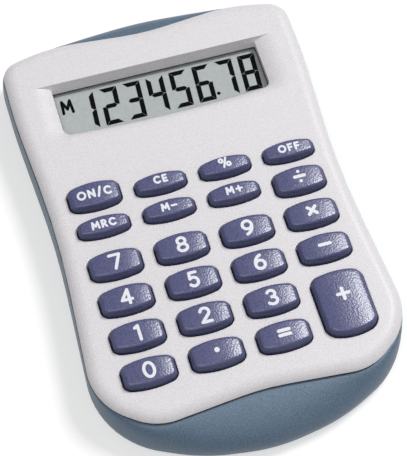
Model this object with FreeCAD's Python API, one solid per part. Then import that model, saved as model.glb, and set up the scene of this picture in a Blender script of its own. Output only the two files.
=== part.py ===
import FreeCAD, Part
import math
import os
from FreeCAD import Vector

os.makedirs("parts", exist_ok=True)

# A pocket calculator lying on its back, in millimetres.
# +Z is up out of the keys, +Y points from the keys to the display.
# The origin is under the middle of the body, on the surface it lies on.

# Key grid
column_pitch = 15.5
row_pitch = 9.0
columns = 4
rows = 6
key_gap_across = 3.3      # between neighbouring keys
key_gap_along = 2.05
short_key_cut = 1.85      # the two function rows have keys this much shorter
tall_key_extra = -0.05
tall_key_drop = 0.55      # the tall key sits this much nearer than the middle of its two rows

# Heights, built up from the surface it lies on
shell_floor = 1.8
cell_lift = 0.5           # ribs under the cell
cell_height = 3.05
cell_clearance = 0.35     # between the cell and the board
board_thickness = 1.2
board_to_cover = 3.0
face_thickness = 1.6
cover_edge_height = 1.95  # of the cover's edge over the shadow gap
parting_gap = 0.25        # shadow gap between the cover's edge and the shell's rim
widest_share = 0.376      # height at which the rear shell is widest, as a share of its height

# Outline of the front cover. Sides count out from the outer keys; near points count from the lowest
# key row and far points from the far edge of the window.
near_side = 7.5
waist_side = 4.35
far_side = 6.5
near_lobe_in = 11.95
near_lobe_y = -12.05
near_dip_y = -9.75
near_corner_y = -3.2
waist_before = 7.0        # waist before the last key row
far_side_before = 5.0
far_corner_in = 0.3
far_corner_past = 9.9
far_lobe_in = 13.15
far_lobe_past = 12.75
far_dip_past = 10.7
dip_radius = 60.0         # rounding of the dip in the near and far edge
near_lobe_radius = 13.0
near_corner_radius = 14.0
far_lobe_radius = 42.0
far_corner_radius = 5.0
waist_radius = 200.0
side_radius = 120.0

# Outline of the rear shell at its widest height
shell_overhang = 0.55      # past the cover at the waist
shell_far_overhang = 0.15
shell_near_end_y = -21.3
shell_near_side_in = 20.55
shell_near_side_y = -18.75
shell_near_corner_out = 0.25
shell_near_corner_y = -8.8
shell_near_radius = 44.0
shell_near_corner_radius = 20.0
shell_far_corner_out = 0.15
shell_far_corner_past = 10.35
shell_far_side_in = 16.68
shell_far_side_past = 15.2
shell_far_end_past = 17.1
shell_far_radius = 84.0
shell_far_corner_radius = 6.0
centring_nudge = -0.1     # the ends are rounded by different amounts
near_hub_y = 5.0          # the flank's rays round the near end spread from here

# Walls
shell_wall = 1.8
shell_foot_radius = 2.5
nose_wall = 2.6
nose_roof_lift = 0.2
cover_roll_in = 2.4       # the cover's edge slopes off over this width
cover_roll_down = 1.1
cover_bevel = 0.45
skirt_clearance = 0.15
skirt_thickness = 0.95
skirt_depth = 1.0         # reach of the cover's skirt inside the shell's rim
merge = 0.2               # joined shapes run this far into each other
past = 1.0                # cutting shapes run this far past a face
touching = 0.01

# Keys
key_arch = 0.95
tall_key_near_arch = 1.5
key_corner_radius = 1.7
tall_key_corner_radius = 2.0
corner_facets = 3
bow_point = 0.25          # where the bowed edges bend, as a share of the half width
key_stand = 2.3           # height of a key above the face
key_edge = 0.7            # bevel round the key's top
key_draft = math.radians(6.0)
key_collar = 0.4          # the draft starts this high above the underside of the face
key_clearance = 0.12
flange_overlap = 0.4      # the flange under the face reaches this far past the key's foot
flange_thickness = 0.8
seat_gap = 0.05

# Rubber mat
mat_thickness = 0.5
mat_side_in = 0.2         # from the board's side
mat_margin = 1.0
dome_foot = (8.4, 5.0)
dome_head = (6.4, 3.6)
dome_wall = 0.4
dome_roof = 0.6
short_dome_cut = 0.9
pill_size = (3.6, 1.8)
pill_thickness = 0.35
pad_size = (3.4, 2.2)
pad_thickness = 0.05

# Display
window_side_in = 3.95     # from the outer keys' sides
keys_to_window = 18.1     # from the last key row
window_length = 12.2      # at the foot of the walls
window_depth = 3.0
window_bow = 1.0          # the near edge bows outwards by this much
roll_side = 4.7           # the face rolls down towards the window over this width
roll_near = 2.6
roll_depth = 1.5
far_wall_slope = math.radians(17.0)
window_tool_reach = 10.0
pane_thickness = 0.8
pane_ledge = 1.6
film_thickness = 0.15
film_margin = 1.0
glass_thickness = 0.6
glass_side_out = 2.9
glass_before_window = 4.4
glass_past_window = 2.6
glass_ledge = 1.9
seat_before_glass = 0.6
frame_wall = 1.0
frame_clearance = 0.2
cushion_side_in = 2.5
cushion_end_in = 0.8
cushion_thickness = 1.2
cushion_rib_in = 2.0
ribbon_side_in = 5.5
ribbon_thickness = 0.1
ribbon_lap = 1.5          # on the board
ribbon_gap = 0.2

# Case screws and the posts they join
far_screw_in = 7.85
far_screw_past = 5.9
case_screw_near = (14.5, -6.8)
case_joint_gap = 0.2      # between the posts' meeting faces and the underside of the board
boss_radius = 1.8
post_radius = 3.2
screw_radius = 0.9
screw_slack = 0.2
screw_tip_gap = 0.8
pilot_slack = 0.02
pilot_roof = 0.2
head_radius = 1.9
head_slack = 0.3
head_height = 1.2
head_recess = 1.3
small_round_sides = 12

# Board and what it carries
board_side_out = 1.25     # past the outer keys
board_near_y = -4.5
board_to_glass = 0.4
board_corner = 2.0
board_stop_side_in = 5.35 # blocks under the cover that hold the board down on the shell's ribs
board_stop_in = 3.4
board_stop_size = 3.0
rib_side_in = 2.35
rib_thickness = 1.0
rib_rows = (0.5, 2.5, 4.5)
cell_radius = 5.8
cell_sides = 24
cell_step = 0.9           # the cell's cap is this much narrower than its can
cell_can_height = 2.6
cell_column = 1.1         # in columns from the middle
cell_row = 3.5            # in key rows from the lowest
cell_slack = 0.45
cell_stop_height = 2.2
strip_width = 3.0
strip_thickness = 0.2
clip_end_lift = 0.3
chip_column = -0.4
chip_radius = 5.5
chip_height = 1.2
chip_slope = 0.7
can_column = -1.35
can_radius = 1.6
can_length = 5.0
resistor_size = (3.2, 1.6, 0.6)
resistor_to_can = 4.0

key_width = column_pitch - key_gap_across
key_height = row_pitch - key_gap_along
short_key_height = key_height - short_key_cut
tall_key_height = row_pitch + key_height + tall_key_extra
keypad_half = (columns - 1) / 2 * column_pitch + key_width / 2
last_row_y = (rows - 1) * row_pitch

cell_seat_z = shell_floor + cell_lift
cell_top_z = cell_seat_z + cell_height
board_foot_z = cell_top_z + cell_clearance
board_top_z = board_foot_z + board_thickness
underside_z = board_top_z + board_to_cover
face_z = underside_z + face_thickness
parting_z = face_z - cover_edge_height - parting_gap
widest_z = widest_share * parting_z
nose_roof_z = board_foot_z + nose_roof_lift
case_joint_z = board_foot_z - case_joint_gap
key_top_z = face_z + key_stand
flange_top_z = underside_z - seat_gap
flange_foot_z = flange_top_z - flange_thickness
mat_top_z = board_top_z + mat_thickness
dome_top_z = flange_foot_z - seat_gap

window_half_width = keypad_half - window_side_in
window_near_y = last_row_y + keys_to_window
window_far_y = window_near_y + window_length
window_foot_z = face_z - window_depth
glass_half_width = window_half_width + glass_side_out
glass_near_y = window_near_y - glass_before_window
glass_far_y = window_far_y + glass_past_window
rear_glass_top_z = window_foot_z - pane_thickness - film_thickness - glass_thickness
display_foot_z = rear_glass_top_z - glass_thickness - film_thickness
cushion_foot_z = display_foot_z - cushion_thickness
cushion_half_width = window_half_width - cushion_side_in
cushion_near_y = window_near_y + cushion_end_in
cushion_far_y = window_far_y - cushion_end_in

cover_half_near = keypad_half + near_side
cover_half_waist = keypad_half + waist_side
cover_half_far = keypad_half + far_side
waist_y = last_row_y - waist_before
far_side_y = window_far_y - far_side_before
shell_far_end_y = window_far_y + shell_far_end_past
body_length = shell_far_end_y - shell_near_end_y
row_zero_y = centring_nudge - (shell_near_end_y + shell_far_end_y) / 2
case_screw_far = (cover_half_far - far_screw_in, window_far_y + far_screw_past)

board_half_width = keypad_half + board_side_out
board_far_y = glass_near_y - board_to_glass
board_stop_x = keypad_half - board_stop_side_in
board_stop_y = board_far_y - board_stop_in
mat_half_width = board_half_width - mat_side_in
rib_half_width = keypad_half - rib_side_in
ribbon_half_width = window_half_width - ribbon_side_in
cell_x = cell_column * column_pitch
cell_y = cell_row * row_pitch
chip_x = chip_column * column_pitch
can_x = can_column * column_pitch


# Helpers

def rounded_outline(corners, z):
    """Closed wire through a ring of (x, y, radius) corners, each rounded by a tangent arc."""
    points = [Vector(x, y + row_zero_y, z) for x, y, radius in corners]
    starts, middles, ends = [], [], []
    for index, point in enumerate(points):
        back = (points[index - 1] - point).normalize()
        ahead = (points[(index + 1) % len(points)] - point).normalize()
        half_turn = (math.pi - back.getAngle(ahead)) / 2
        radius = corners[index][2]
        reach = radius * math.tan(half_turn)
        inward = (back + ahead).normalize()
        starts.append(point + back * reach)
        ends.append(point + ahead * reach)
        middles.append(point + inward * radius * (1 / math.cos(half_turn) - 1))
    edges = []
    for index in range(len(points)):
        edges.append(Part.Arc(starts[index], middles[index], ends[index]).toShape())
        following = starts[(index + 1) % len(points)]
        edges.append(Part.LineSegment(ends[index], following).toShape())
    return Part.Wire(edges)


def closed_polygon(points):
    return Part.makePolygon(points + points[:1])


def prism(wire, top_z):
    """Solid from a flat wire up to a height."""
    return Part.Face(wire).extrude(Vector(0, 0, top_z - wire.BoundBox.ZMin))


def inset_prism(corners, inset, foot_z, top_z):
    return prism(rounded_outline(corners, foot_z).makeOffset2D(-inset), top_z)


def block(x_from, x_to, y_from, y_to, z_from, z_to):
    """Box with y counted from the lowest key row."""
    corner = Vector(x_from, y_from + row_zero_y, z_from)
    return Part.makeBox(x_to - x_from, y_to - y_from, z_to - z_from, corner)


def centred_block(x, y, width, length, z_from, z_to):
    return block(x - width / 2, x + width / 2, y - length / 2, y + length / 2, z_from, z_to)


def small_post(x, y, radius, z_from, z_to, sides=small_round_sides):
    """Upright many-sided post, for the small screws and what they go through."""
    points = []
    for step in range(sides):
        angle = 2 * math.pi * step / sides
        points.append(Vector(x + radius * math.cos(angle), row_zero_y + y + radius * math.sin(angle),
                             z_from))
    return prism(closed_polygon(points), z_to)


def top_edges(solid):
    top_z = solid.BoundBox.ZMax
    return [edge for edge in solid.Edges if edge.BoundBox.ZMin > top_z - touching]


def save(shape, name):
    if len(shape.Solids) == 1:
        shape = shape.Solids[0]
    shape.exportStep("parts/" + name + ".step")
    print(name, "solids", len(shape.Solids), "volume", round(shape.Volume, 2))


# Outlines

def mirrored(half):
    """Ring of corners from the right half of a symmetric outline, near middle to far middle."""
    left = [(-x, y, radius) for x, y, radius in reversed(half[1:-1])]
    return half + left


def cover_corners():
    return mirrored([
        (0.0, near_dip_y, dip_radius),
        (cover_half_near - near_lobe_in, near_lobe_y, near_lobe_radius),
        (cover_half_near, near_corner_y, near_corner_radius),
        (cover_half_waist, waist_y, waist_radius),
        (cover_half_far, far_side_y, side_radius),
        (cover_half_far - far_corner_in, window_far_y + far_corner_past, far_corner_radius),
        (cover_half_far - far_lobe_in, window_far_y + far_lobe_past, far_lobe_radius),
        (0.0, window_far_y + far_dip_past, dip_radius),
    ])


def shell_corners():
    return mirrored([
        (0.0, shell_near_end_y, shell_near_radius),
        (cover_half_near - shell_near_side_in, shell_near_side_y, shell_near_radius),
        (cover_half_near + shell_near_corner_out, shell_near_corner_y, shell_near_corner_radius),
        (cover_half_waist + shell_overhang, waist_y, waist_radius),
        (cover_half_far + shell_far_overhang, far_side_y, side_radius),
        (cover_half_far + shell_far_corner_out, window_far_y + shell_far_corner_past,
         shell_far_corner_radius),
        (cover_half_far - shell_far_side_in, window_far_y + shell_far_side_past, shell_far_radius),
        (0.0, shell_far_end_y, shell_far_radius),
    ])


# Rear shell

def half_rays():
    """Rays that cut the right half of both outlines, from the near middle to the far middle."""
    near_hub = row_zero_y + near_hub_y
    far_hub = row_zero_y + window_far_y
    rays = []
    for degrees in (-90, -78, -66, -55, -45, -36, -28, -20, -12, -4, 5):
        rays.append((near_hub, math.radians(degrees)))
    for share in (0.18, 0.34, 0.5, 0.66, 0.83):
        rays.append((near_hub + (far_hub - near_hub) * share, 0.0))
    for degrees in (0, 4, 8, 11, 14, 17, 21, 27, 36, 50, 70, 90):
        rays.append((far_hub, math.radians(degrees)))
    return rays


def ray_end(wire, hub, outward):
    """Point where a ray from inside meets an outline."""
    ray = Part.LineSegment(hub, hub + outward * body_length).toShape()
    return wire.distToShape(ray)[1][0][0]


def flank_rays():
    """Where each ray meets the rim and the widest outline, all the way round."""
    rim = rounded_outline(cover_corners(), 0.0)
    widest = rounded_outline(shell_corners(), 0.0)
    rays = []
    for hub_y, angle in half_rays():
        hub = Vector(0, hub_y, 0)
        outward = Vector(math.cos(angle), math.sin(angle), 0)
        rays.append((ray_end(rim, hub, outward), ray_end(widest, hub, outward), outward))
    for ray in reversed(rays[1:-1]):
        rays.append(tuple(Vector(-point.x, point.y, 0) for point in ray))
    return rays


def shared_knots(rays):
    """One curve parameter for each ray, from the distance between neighbours."""
    middles = [(inner + outer) * 0.5 for inner, outer, outward in rays]
    knots = [0.0]
    for index, point in enumerate(middles):
        knots.append(knots[-1] + point.distanceToPoint(middles[(index + 1) % len(middles)]))
    return knots


def flank_section(rays, share, inset, z):
    """Closed curve between the rim outline (share 0) and the widest outline (share 1)."""
    points = []
    for inner, outer, outward in rays:
        point = inner + (outer - inner) * share - outward * inset
        points.append(Vector(point.x, point.y, z))
    curve = Part.BSplineCurve()
    curve.interpolate(Points=points, PeriodicFlag=True, Parameters=shared_knots(rays))
    return Part.Wire(curve.toShape())


def shell_body():
    """Pillow-shaped flank: a quarter ellipse from the waved rim out, and a rounded foot."""
    rays = flank_rays()
    sections = []
    for degrees in (0, 23, 44, 63, 78, 90):
        angle = math.radians(degrees)
        z = widest_z + (parting_z - widest_z) * math.cos(angle)
        sections.append(flank_section(rays, math.sin(angle), 0.0, z))
    steepest = math.radians(76)
    for angle in (steepest / 2, steepest):
        z = shell_foot_radius * (1 - math.sin(angle) / math.sin(steepest))
        sections.append(flank_section(rays, 1.0, shell_foot_radius * (1 - math.cos(angle)), z))
    return Part.makeLoft(sections, True, True)


def case_screw_places():
    places = []
    for x, y in (case_screw_far, case_screw_near):
        places += [(x, y), (-x, y)]
    return places


def cell_cradle():
    """Ribs on the shell's floor: two that the cell lies on and four stops round it."""
    foot_z = shell_floor - merge
    stop_top_z = cell_seat_z + cell_stop_height
    stop = cell_radius + cell_slack + rib_thickness / 2
    ribs = []
    for side in (-1, 1):
        ribs.append(centred_block(cell_x + side * cell_radius / 2, cell_y, rib_thickness, cell_radius,
                                  foot_z, cell_seat_z))
        ribs.append(centred_block(cell_x, cell_y + side * stop, cell_radius, rib_thickness,
                                  foot_z, stop_top_z))
        ribs.append(centred_block(cell_x + side * stop, cell_y, rib_thickness, cell_radius,
                                  foot_z, stop_top_z))
    return ribs


def rear_shell():
    solid = shell_body()
    opening = inset_prism(cover_corners(), shell_wall, nose_roof_z - merge, parting_z + past)
    nose = inset_prism(shell_corners(), nose_wall, shell_floor, nose_roof_z)
    solid = solid.cut([opening, nose])
    foot_z = shell_floor - merge
    added = [small_post(x, y, post_radius, foot_z, case_joint_z) for x, y in case_screw_places()]
    for row in rib_rows:
        added.append(centred_block(0, row * row_pitch, 2 * rib_half_width, rib_thickness,
                                   foot_z, board_foot_z))
    for y in (cushion_near_y + cushion_rib_in, cushion_far_y - cushion_rib_in):
        added.append(centred_block(0, y, 2 * cushion_half_width, rib_thickness, foot_z, cushion_foot_z))
    solid = solid.fuse(added + cell_cradle())
    cuts = []
    for x, y in case_screw_places():
        cuts.append(small_post(x, y, screw_radius + screw_slack, -past, case_joint_z + past))
        cuts.append(small_post(x, y, head_radius + head_slack, -past, head_recess + head_height))
    return solid.cut(cuts)


# Front cover

def roll_arc(edge, roll, place):
    """Arc that leaves the face level and rolls down to the top of the window's shaft."""
    radius = (roll * roll + roll_depth * roll_depth) / (2 * roll_depth)
    half_angle = math.asin(roll / radius) / 2
    foot = place(edge, face_z - roll_depth)
    middle = place(edge + roll - radius * math.sin(half_angle),
                   face_z - radius * (1 - math.cos(half_angle)))
    return Part.Arc(foot, middle, place(edge + roll, face_z)).toShape()


def lip_wire(edge, roll, place, other_side):
    """Section of the space inside one lip: up the shaft, out along the roll, and back above the face."""
    low_z = window_foot_z - merge
    high_z = face_z + past
    arc = roll_arc(edge, roll, place)
    ring = [place(edge + roll, face_z), place(edge + roll, high_z), place(other_side, high_z),
            place(other_side, low_z), place(edge, low_z), place(edge, face_z - roll_depth)]
    lines = [Part.LineSegment(ring[index], ring[index + 1]).toShape() for index in range(len(ring) - 1)]
    return Part.Wire([arc] + lines)


def window_tool():
    """Space over the display: rolled lips at the sides and the bowed near edge, a steep far wall."""
    reach = window_half_width + roll_side + past
    depth = Vector(0, window_length + 2 * window_tool_reach, 0)
    start_y = window_near_y - window_tool_reach + row_zero_y
    halves = []
    for side in (-1, 1):
        wire = lip_wire(window_half_width, roll_side, lambda out, z: Vector(side * out, start_y, z), 0.0)
        halves.append(Part.Face(wire).extrude(depth))
    sides = halves[0].fuse(halves[1])
    bow_radius = window_half_width ** 2 / (2 * window_bow)
    edge_y = window_near_y - window_bow + row_zero_y
    hub = Vector(0, edge_y + bow_radius, 0)
    near_wire = lip_wire(0.0, roll_near, lambda out, z: Vector(0, edge_y - out, z),
                         -window_length - window_tool_reach)
    half_sweep = math.degrees(math.asin(reach / bow_radius))
    near_face = Part.Face(near_wire)
    near_face.rotate(hub, Vector(0, 0, 1), -half_sweep)
    near = near_face.revolve(hub, Vector(0, 0, 1), 2 * half_sweep)
    low_z = window_foot_z - merge
    high_z = face_z + past
    wall = []
    for z in (low_z, high_z):
        wall_y = window_far_y + (z - window_foot_z) * math.tan(far_wall_slope)
        wall.append(Vector(-reach, wall_y + row_zero_y, z))
    ring = [wall[0], wall[1], Vector(-reach, start_y, high_z), Vector(-reach, start_y, low_z)]
    far = Part.Face(closed_polygon(ring)).extrude(Vector(2 * reach, 0, 0))
    return sides.common(near).common(far)


def cover_plate():
    """Waved plate whose upper edge slopes off."""
    plate = prism(rounded_outline(cover_corners(), parting_z + parting_gap), face_z)
    plate = plate.makeChamfer(cover_roll_down, cover_roll_in, top_edges(plate))
    slope_foot_z = face_z - cover_roll_down
    lower = []
    for edge in plate.Edges:
        box = edge.BoundBox
        if max(abs(box.ZMin - slope_foot_z), abs(box.ZMax - slope_foot_z)) < touching:
            lower.append(edge)
    return plate.makeChamfer(cover_bevel, lower)


def display_seat():
    """Block round the window that the clear pane is bonded to, and walls on three sides of the glass."""
    half = glass_half_width + frame_clearance + frame_wall
    far_y = glass_far_y + frame_clearance + frame_wall
    seat = block(-half, half, glass_near_y - seat_before_glass, far_y, window_foot_z, underside_z + merge)
    frame = block(-half, half, glass_near_y, far_y, display_foot_z, window_foot_z)
    inner_half = half - frame_wall
    room = block(-inner_half, inner_half, glass_near_y - past, far_y - frame_wall,
                 display_foot_z, window_foot_z)
    return [seat, frame.cut(room)]


def front_cover(keys):
    edge_z = parting_z + parting_gap
    skirt_outer = shell_wall + skirt_clearance
    skirt_inner = skirt_outer + skirt_thickness
    skirt_foot_z = parting_z - skirt_depth
    skirt = inset_prism(cover_corners(), skirt_outer, skirt_foot_z, underside_z)
    rooms = [inset_prism(cover_corners(), skirt_inner, skirt_foot_z - past, underside_z)]
    rooms += [flange(key, skirt_clearance, skirt_foot_z - past, underside_z) for key in keys]
    solid = cover_plate().fuse(skirt).cut(rooms)
    added = display_seat()
    for x, y in case_screw_places():
        added.append(small_post(x, y, boss_radius, case_joint_z, underside_z + merge))
    for x in (-board_stop_x, 0.0, board_stop_x):
        added.append(centred_block(x, board_stop_y, board_stop_size, board_stop_size,
                                   board_top_z, underside_z + merge))
    solid = solid.fuse(added)
    cuts = [window_tool()]
    for key in keys:
        cuts.append(prism(key_outline(key, key_clearance, edge_z), face_z + past))
    for x, y in case_screw_places():
        cuts.append(small_post(x, y, screw_radius + pilot_slack, case_joint_z - past,
                               underside_z - pilot_roof))
    return solid.cut(cuts)


# Keys

def key_list():
    """Every key: name, middle x, middle y from the lowest row, height, near arch, far arch."""
    short_shift = (key_height - short_key_height) / 2
    grid = [
        ["key_0", "key_point", "key_equals", None],
        ["key_1", "key_2", "key_3", None],
        ["key_4", "key_5", "key_6", "key_minus"],
        ["key_7", "key_8", "key_9", "key_times"],
        ["key_memory_recall", "key_memory_minus", "key_memory_plus", "key_divide"],
        ["key_on_clear", "key_clear_entry", "key_percent", "key_off"],
    ]
    low_set = ("key_clear_entry", "key_percent", "key_off")
    keys = []
    for row, names in enumerate(grid):
        for column, name in enumerate(names):
            if name is None:
                continue
            y = row * row_pitch
            height = key_height
            if name.startswith("key_memory"):
                height = short_key_height
                y += short_shift
            elif name in low_set:
                height = short_key_height
                y -= short_shift
            keys.append((name, (column - (columns - 1) / 2) * column_pitch, y, height, key_arch, key_arch))
    tall_y = 0.5 * row_pitch - tall_key_drop
    last_column_x = (columns - 1) / 2 * column_pitch
    keys.append(("key_plus", last_column_x, tall_y, tall_key_height, tall_key_near_arch, key_arch))
    return keys


def key_outline(key, grow, z):
    """Ring of short straight edges: rounded corners, near and far edges bowed outwards."""
    name, x, y, height, near_arch, far_arch = key
    half = key_width / 2 + grow
    reach = height / 2 + grow
    radius = (tall_key_corner_radius if name == "key_plus" else key_corner_radius) + grow
    ring = []
    for side_x, side_y, first in ((1, -1, -90), (1, 1, 0), (-1, 1, 90), (-1, -1, 180)):
        for step in range(corner_facets + 1):
            angle = math.radians(first + 90.0 * step / corner_facets)
            ring.append((side_x * (half - radius) + radius * math.cos(angle),
                         side_y * (reach - radius) + radius * math.sin(angle)))
        if side_x == side_y:
            bend = side_y * bow_point * half
            ring += [(bend, side_y * reach), (-bend, side_y * reach)]
    points = []
    for across, along in ring:
        arch = near_arch if along < 0 else far_arch
        drawn_in = arch * (across / half) ** 2 * along / reach
        points.append(Vector(x + across, y + along - drawn_in + row_zero_y, z))
    return closed_polygon(points)


def flange(key, grow, foot_z, top_z):
    """Square-cornered plate under a key, grown by a margin."""
    margin = 2 * (flange_overlap + grow)
    return centred_block(key[1], key[2], key_width + margin, key[3] + margin, foot_z, top_z)


def keycap(key):
    """Drafted cap with a bevelled top on a square-cornered flange."""
    cap = prism(key_outline(key, 0.0, flange_top_z), key_top_z)
    drafted = key_top_z - underside_z - key_collar
    cap = cap.makeChamfer(drafted, drafted * math.tan(key_draft), top_edges(cap))
    cap = cap.makeChamfer(key_edge, top_edges(cap))
    return cap.fuse(flange(key, 0.0, flange_foot_z, flange_top_z))


# Rubber mat and its contacts

def frustum(x, y, foot, head, foot_z, head_z):
    """Rectangular dome: foot and head are (width, length)."""
    near_foot = row_zero_y + y - foot[1] / 2
    near_head = row_zero_y + y - head[1] / 2
    wedge = Part.makeWedge(x - foot[0] / 2, 0.0, -near_foot - foot[1],
                           -near_head - head[1], x - head[0] / 2,
                           x + foot[0] / 2, head_z - foot_z, -near_foot,
                           -near_head, x + head[0] / 2)
    wedge.rotate(Vector(0, 0, 0), Vector(1, 0, 0), 90)
    wedge.translate(Vector(0, 0, foot_z))
    return wedge


def dome_places(keys):
    """Middle of each dome and how much shorter than a full dome it is."""
    return [(key[1], key[2], short_dome_cut if key[3] < key_height else 0.0) for key in keys]


def keypad_mat(keys):
    sheet = block(-mat_half_width, mat_half_width, -key_height / 2 - mat_margin,
                  last_row_y + key_height / 2 + mat_margin, board_top_z, mat_top_z)
    domes = []
    hollows = []
    for x, y, cut in dome_places(keys):
        foot = (dome_foot[0], dome_foot[1] - cut)
        head = (dome_head[0], dome_head[1] - cut)
        domes.append(frustum(x, y, foot, head, mat_top_z, dome_top_z))
        inner_foot = (foot[0] - 2 * dome_wall, foot[1] - 2 * dome_wall)
        inner_head = (head[0] - 2 * dome_wall, head[1] - 2 * dome_wall)
        hollows.append(frustum(x, y, inner_foot, inner_head, board_top_z, dome_top_z - dome_roof))
    return sheet.fuse(domes).cut(hollows)


def contact_pills(keys):
    top_z = dome_top_z - dome_roof
    pills = []
    for x, y, cut in dome_places(keys):
        pills.append(centred_block(x, y, pill_size[0], pill_size[1] - cut / 2,
                                   top_z - pill_thickness, top_z))
    return Part.Compound(pills)


def key_contacts(keys):
    return Part.Compound([
        centred_block(x, y, pad_size[0], pad_size[1], board_top_z, board_top_z + pad_thickness)
        for x, y, cut in dome_places(keys)])


# Board and what it carries

def circuit_board():
    ring = [(-board_half_width, board_near_y), (board_half_width, board_near_y),
            (board_half_width, board_far_y), (-board_half_width, board_far_y)]
    return prism(rounded_outline([(x, y, board_corner) for x, y in ring], board_foot_z), board_top_z)


def chip_cover():
    """Flat drop of resin under the board."""
    drop = small_post(chip_x, cell_y, chip_radius, board_foot_z - chip_height, board_foot_z)
    foot_z = drop.BoundBox.ZMin
    lower = [edge for edge in drop.Edges if edge.BoundBox.ZMax < foot_z + touching]
    return drop.makeChamfer(chip_slope * chip_height, lower)


def capacitor():
    """Small can lying under the board."""
    can = small_post(0.0, 0.0, can_radius, 0.0, can_length)
    can.translate(Vector(0, -row_zero_y, 0))
    can.rotate(Vector(0, 0, 0), Vector(1, 0, 0), -90)
    can.translate(Vector(can_x, cell_y + row_zero_y, board_foot_z - can_radius))
    return can


def resistor():
    width, length, height = resistor_size
    return centred_block(can_x, cell_y - resistor_to_can, width, length,
                         board_foot_z - height, board_foot_z)


def battery_cell():
    """Button cell: wide can below, narrower cap above."""
    step_z = cell_seat_z + cell_can_height
    can = small_post(cell_x, cell_y, cell_radius, cell_seat_z, step_z, cell_sides)
    cap = small_post(cell_x, cell_y, cell_radius - cell_step, step_z, cell_top_z, cell_sides)
    return can.fuse(cap)


def battery_spring():
    """Bent leaf under the board that presses on the cell's cap."""
    near_y = cell_y - strip_width / 2 + row_zero_y
    bend_x = cell_x - cell_radius - strip_width
    outline = [
        Vector(bend_x - strip_width, near_y, board_foot_z),
        Vector(bend_x, near_y, board_foot_z),
        Vector(cell_x - strip_width / 2, near_y, cell_top_z + strip_thickness),
        Vector(cell_x + strip_width / 2, near_y, cell_top_z + strip_thickness),
        Vector(cell_x + strip_width / 2, near_y, cell_top_z),
        Vector(cell_x - strip_width / 2, near_y, cell_top_z),
        Vector(bend_x, near_y, board_foot_z - strip_thickness),
        Vector(bend_x - strip_width, near_y, board_foot_z - strip_thickness),
    ]
    return Part.Face(closed_polygon(outline)).extrude(Vector(0, strip_width, 0))


def battery_clip():
    """Angle strip from the board down to the side of the cell's can."""
    x = cell_x + cell_radius
    near_y = cell_y - strip_width / 2 + row_zero_y
    outline = [
        Vector(x, near_y, cell_seat_z + clip_end_lift),
        Vector(x, near_y, board_foot_z),
        Vector(x + strip_width, near_y, board_foot_z),
        Vector(x + strip_width, near_y, board_foot_z - strip_thickness),
        Vector(x + strip_thickness, near_y, board_foot_z - strip_thickness),
        Vector(x + strip_thickness, near_y, cell_seat_z + clip_end_lift),
    ]
    return Part.Face(closed_polygon(outline)).extrude(Vector(0, strip_width, 0))


# Display

def display_sheets():
    """Sheets under the window from the clear pane down: name, ledge, margin and thickness."""
    return [
        ("display_window", pane_ledge, 0.0, pane_thickness),
        ("front_polariser", glass_ledge, film_margin, film_thickness),
        ("front_glass", glass_ledge, 0.0, glass_thickness),
        ("rear_glass", 0.0, 0.0, glass_thickness),
        ("rear_reflector", glass_ledge, film_margin, film_thickness),
    ]


def save_display():
    top_z = window_foot_z
    for name, ledge, margin, thickness in display_sheets():
        half = glass_half_width - margin
        save(block(-half, half, glass_near_y + ledge, glass_far_y - margin, top_z - thickness, top_z), name)
        top_z -= thickness
    save(block(-cushion_half_width, cushion_half_width, cushion_near_y, cushion_far_y,
               cushion_foot_z, display_foot_z), "display_cushion")
    save(block(-ribbon_half_width, ribbon_half_width, board_far_y - ribbon_lap,
               glass_near_y + glass_ledge - ribbon_gap,
               rear_glass_top_z, rear_glass_top_z + ribbon_thickness), "display_ribbon")


def case_screws():
    tip_z = underside_z - screw_tip_gap
    head_top_z = head_recess + head_height
    screws = []
    for x, y in case_screw_places():
        head = small_post(x, y, head_radius, head_recess, head_top_z)
        screws.append(head.fuse(small_post(x, y, screw_radius, head_top_z, tip_z)))
    return Part.Compound(screws)


def main():
    keys = key_list()
    save(rear_shell(), "rear_shell")
    save(front_cover(keys), "front_cover")
    for key in keys:
        save(keycap(key), key[0])
    save(keypad_mat(keys), "keypad_mat")
    save(contact_pills(keys), "contact_pills")
    save(key_contacts(keys), "key_contacts")
    save(circuit_board(), "circuit_board")
    save(chip_cover(), "chip_cover")
    save(capacitor(), "capacitor")
    save(resistor(), "resistor")
    save(battery_cell(), "battery_cell")
    save(battery_spring(), "battery_spring")
    save(battery_clip(), "battery_clip")
    save_display()
    save(case_screws(), "case_screws")


main()
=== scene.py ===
import math
import bmesh
import bpy
from mathutils import Matrix, Vector
from mathutils.geometry import delaunay_2d_cdt


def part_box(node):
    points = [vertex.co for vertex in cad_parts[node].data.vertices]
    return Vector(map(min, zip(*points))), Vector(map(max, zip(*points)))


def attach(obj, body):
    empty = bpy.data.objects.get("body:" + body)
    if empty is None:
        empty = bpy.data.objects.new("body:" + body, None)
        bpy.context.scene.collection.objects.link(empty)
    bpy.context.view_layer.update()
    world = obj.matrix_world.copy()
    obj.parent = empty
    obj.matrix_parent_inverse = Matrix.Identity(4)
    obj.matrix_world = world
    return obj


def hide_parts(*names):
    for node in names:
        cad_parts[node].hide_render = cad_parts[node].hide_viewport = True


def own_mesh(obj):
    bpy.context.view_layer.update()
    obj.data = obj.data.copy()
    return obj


# A pocket calculator lying on its back. Lengths are in millimetres and become metres in place().
# x runs across, y from the lowest key row towards the display, z up from the surface it lies on.

MM = 0.001
tiny = 1e-6
weld = 1e-7  # metres

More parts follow.
